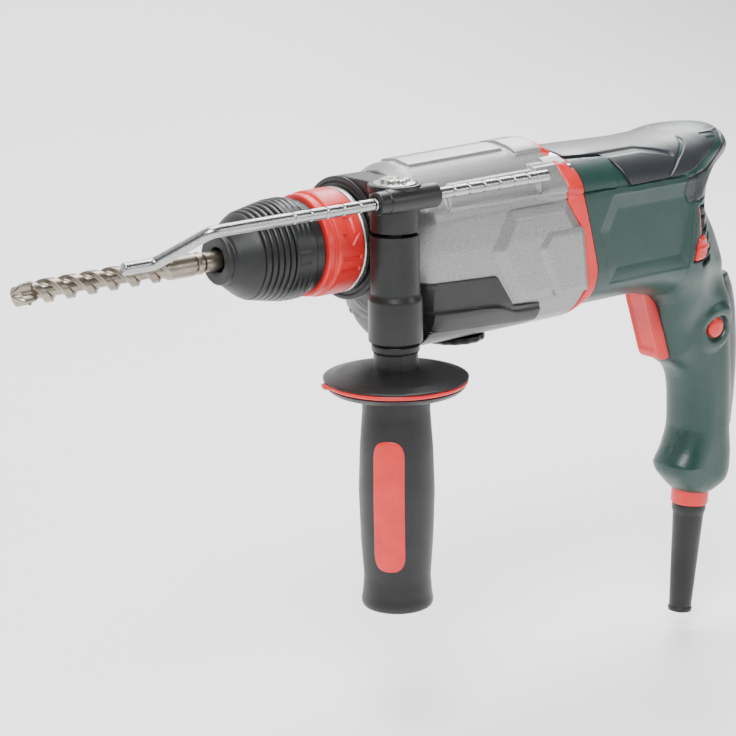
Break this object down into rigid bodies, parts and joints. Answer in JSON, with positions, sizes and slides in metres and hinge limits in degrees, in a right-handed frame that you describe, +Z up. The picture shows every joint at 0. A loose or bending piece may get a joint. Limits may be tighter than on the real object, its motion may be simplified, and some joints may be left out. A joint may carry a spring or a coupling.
{
  "type": "rotary hammer",
  "caption": "Corded rotary hammer with ribbed quick-change chuck and drill bit, clamped side handle with depth stop rod, pistol grip and bend sleeve.",
  "frame": {"origin": "palm point: on the drill axis, at the back of the rear handle", "axes": "+X back along the drill axis, away from the bit; +Z up; the depth stop is on the -Y side"},
  "size_m": [0.4811, 0.1148, 0.2999],
  "materials": {
    "steel_bit": "worn, tempered",
    "rubber_black": "matt",
    "plastic_black": "fine texture",
    "plastic_red": "satin",
    "ring_metal": "satin",
    "zinc_steel": "bright zinc",
    "housing_silver": "metallic flake",
    "housing_green": "fine texture",
    "soft_grey": "matt soft grip",
    "ground_steel": "ground",
    "bearing_steel": "polished",
    "cast_alloy": "die cast",
    "copper": "enamelled copper",
    "carbon": "carbon",
    "lamination": "laminated",
    "screw_steel": "plated"
  },
  "bodies": {
    "machine": {"nose_collar": "plastic_black", "retaining_ring": "ring_metal", "spindle_bearing": "bearing_steel", "gearbox_housing": "housing_silver", "side_plate_left": "housing_silver", "side_plate_right": "housing_silver", "lower_cover_left": "plastic_black", "lower_cover_right": "plastic_black", "gear_bracket": "cast_alloy", "motor_flange": "cast_alloy", "housing_screws": "screw_steel", "counter_bearings": "bearing_steel", "motor_bearings": "bearing_steel", "stator": "lamination", "intermediate_ring": "plastic_red", "motor_housing": "housing_green", "top_cover": "soft_grey", "handle_shell_left": "housing_green", "handle_shell_right": "housing_green", "back_pad": "soft_grey", "switch_module": "plastic_black", "handle_screws": "screw_steel", "cable_gland": "plastic_red", "bend_sleeve": "rubber_black"},
    "spindle_unit": {"spindle": "ground_steel", "spindle_gear": "ground_steel", "chuck_body": "plastic_black", "dust_cap": "rubber_black", "locking_balls": "bearing_steel", "chuck_spring": "ground_steel"},
    "bit": {"drill_bit": "steel_bit"},
    "sleeve": {"locking_sleeve": "plastic_black"},
    "release_ring": {"quick_release_ring": "plastic_red"},
    "side_handle": {"handle_upper_jaw": "plastic_black", "handle_lower_jaw": "plastic_black"},
    "side_grip": {"clamp_bolt": "screw_steel", "handle_neck": "plastic_black", "guard_disc": "plastic_black", "damping_ring": "plastic_red", "grip_core": "plastic_black", "grip_sleeve": "rubber_black", "grip_inlay": "plastic_red"},
    "depth_stop": {"depth_stop_rod": "zinc_steel"},
    "anvil_unit": {"anvil": "ground_steel"},
    "striker_unit": {"striker": "ground_steel"},
    "piston_unit": {"piston": "cast_alloy"},
    "wobble_unit": {"wobble_bearing": "ground_steel"},
    "counter_unit": {"countershaft": "ground_steel"},
    "armature_unit": {"armature_shaft": "ground_steel", "armature_core": "copper", "commutator": "copper", "cooling_fan": "plastic_black"},
    "brush_unit": {"brush_ring": "plastic_black", "carbon_brushes": "carbon", "direction_slider": "plastic_red"},
    "knob_unit": {"mode_knob": "plastic_black", "knob_pointer": "plastic_red"},
    "trigger_unit": {"trigger": "plastic_red"},
    "button_unit": {"lock_button": "plastic_red"}
  },
  "joints": [
    {"name": "spindle_spin", "type": "hinge", "parent": "machine", "child": "spindle_unit", "pos_m": [-0.275, 0, 0], "axis": [1, 0, 0], "continuous": true},
    {"name": "bit_play", "type": "slide", "parent": "spindle_unit", "child": "bit", "axis": [-1, 0, 0], "range_m": [0, 0.01]},
    {"name": "sleeve_pull", "type": "slide", "parent": "spindle_unit", "child": "sleeve", "axis": [1, 0, 0], "range_m": [0, 0.0055], "stiffness_N_per_m": 2500, "springref_m": -0.004},
    {"name": "ring_release", "type": "hinge", "parent": "machine", "child": "release_ring", "pos_m": [-0.275, 0, 0], "axis": [1, 0, 0], "range_deg": [0, 40]},
    {"name": "handle_swivel", "type": "hinge", "parent": "machine", "child": "side_handle", "pos_m": [-0.249, 0, 0], "axis": [1, 0, 0], "range_deg": [-30, 30]},
    {"name": "grip_turn", "type": "hinge", "parent": "side_handle", "child": "side_grip", "pos_m": [-0.2536, -0.0376, -0.06], "axis": [0, 0, 1], "range_deg": [-90, 0]},
    {"name": "depth_stop_slide", "type": "slide", "parent": "side_handle", "child": "depth_stop", "axis": [1, 0, 0], "range_m": [-0.07, 0.02]},
    {"name": "anvil_slide", "type": "slide", "parent": "spindle_unit", "child": "anvil_unit", "axis": [1, 0, 0], "range_m": [0, 0.002]},
    {"name": "wobble_rock", "type": "hinge", "parent": "machine", "child": "wobble_unit", "pos_m": [-0.17, 0, -0.03], "axis": [0, 1, 0], "range_deg": [-10, 10]},
    {"name": "piston_slide", "type": "slide", "parent": "machine", "child": "piston_unit", "axis": [1, 0, 0], "range_m": [-0.0054, 0.0054]},
    {"name": "striker_slide", "type": "slide", "parent": "machine", "child": "striker_unit", "axis": [1, 0, 0], "range_m": [-0.00715, 0.00715]},
    {"name": "counter_spin", "type": "hinge", "parent": "machine", "child": "counter_unit", "pos_m": [-0.185, 0, -0.03], "axis": [1, 0, 0], "continuous": true},
    {"name": "armature_spin", "type": "hinge", "parent": "machine", "child": "armature_unit", "pos_m": [-0.095, 0, -0.014], "axis": [1, 0, 0], "continuous": true},
    {"name": "direction_turn", "type": "hinge", "parent": "machine", "child": "brush_unit", "pos_m": [-0.065, 0, -0.014], "axis": [1, 0, 0], "range_deg": [-26, 0]},
    {"name": "mode_turn", "type": "hinge", "parent": "machine", "child": "knob_unit", "pos_m": [-0.184, 0, -0.06], "axis": [0, 0, 1], "range_deg": [-90, 90]},
    {"name": "trigger_pull", "type": "slide", "parent": "machine", "child": "trigger_unit", "axis": [1, 0, 0], "range_m": [0, 0.007], "stiffness_N_per_m": 900, "springref_m": -0.003},
    {"name": "lock_press", "type": "slide", "parent": "machine", "child": "button_unit", "axis": [0, 1, 0], "range_m": [0, 0.003], "stiffness_N_per_m": 700, "springref_m": -0.002}
  ],
  "couplings": [
    {"joint": "counter_spin", "follows": "spindle_spin", "ratio": -2},
    {"joint": "armature_spin", "follows": "spindle_spin", "ratio": 8},
    {"joint": "piston_slide", "follows": "striker_slide", "ratio": 0.7317},
    {"joint": "wobble_rock", "follows": "striker_slide", "rad_per_m": 24.39}
  ]
}
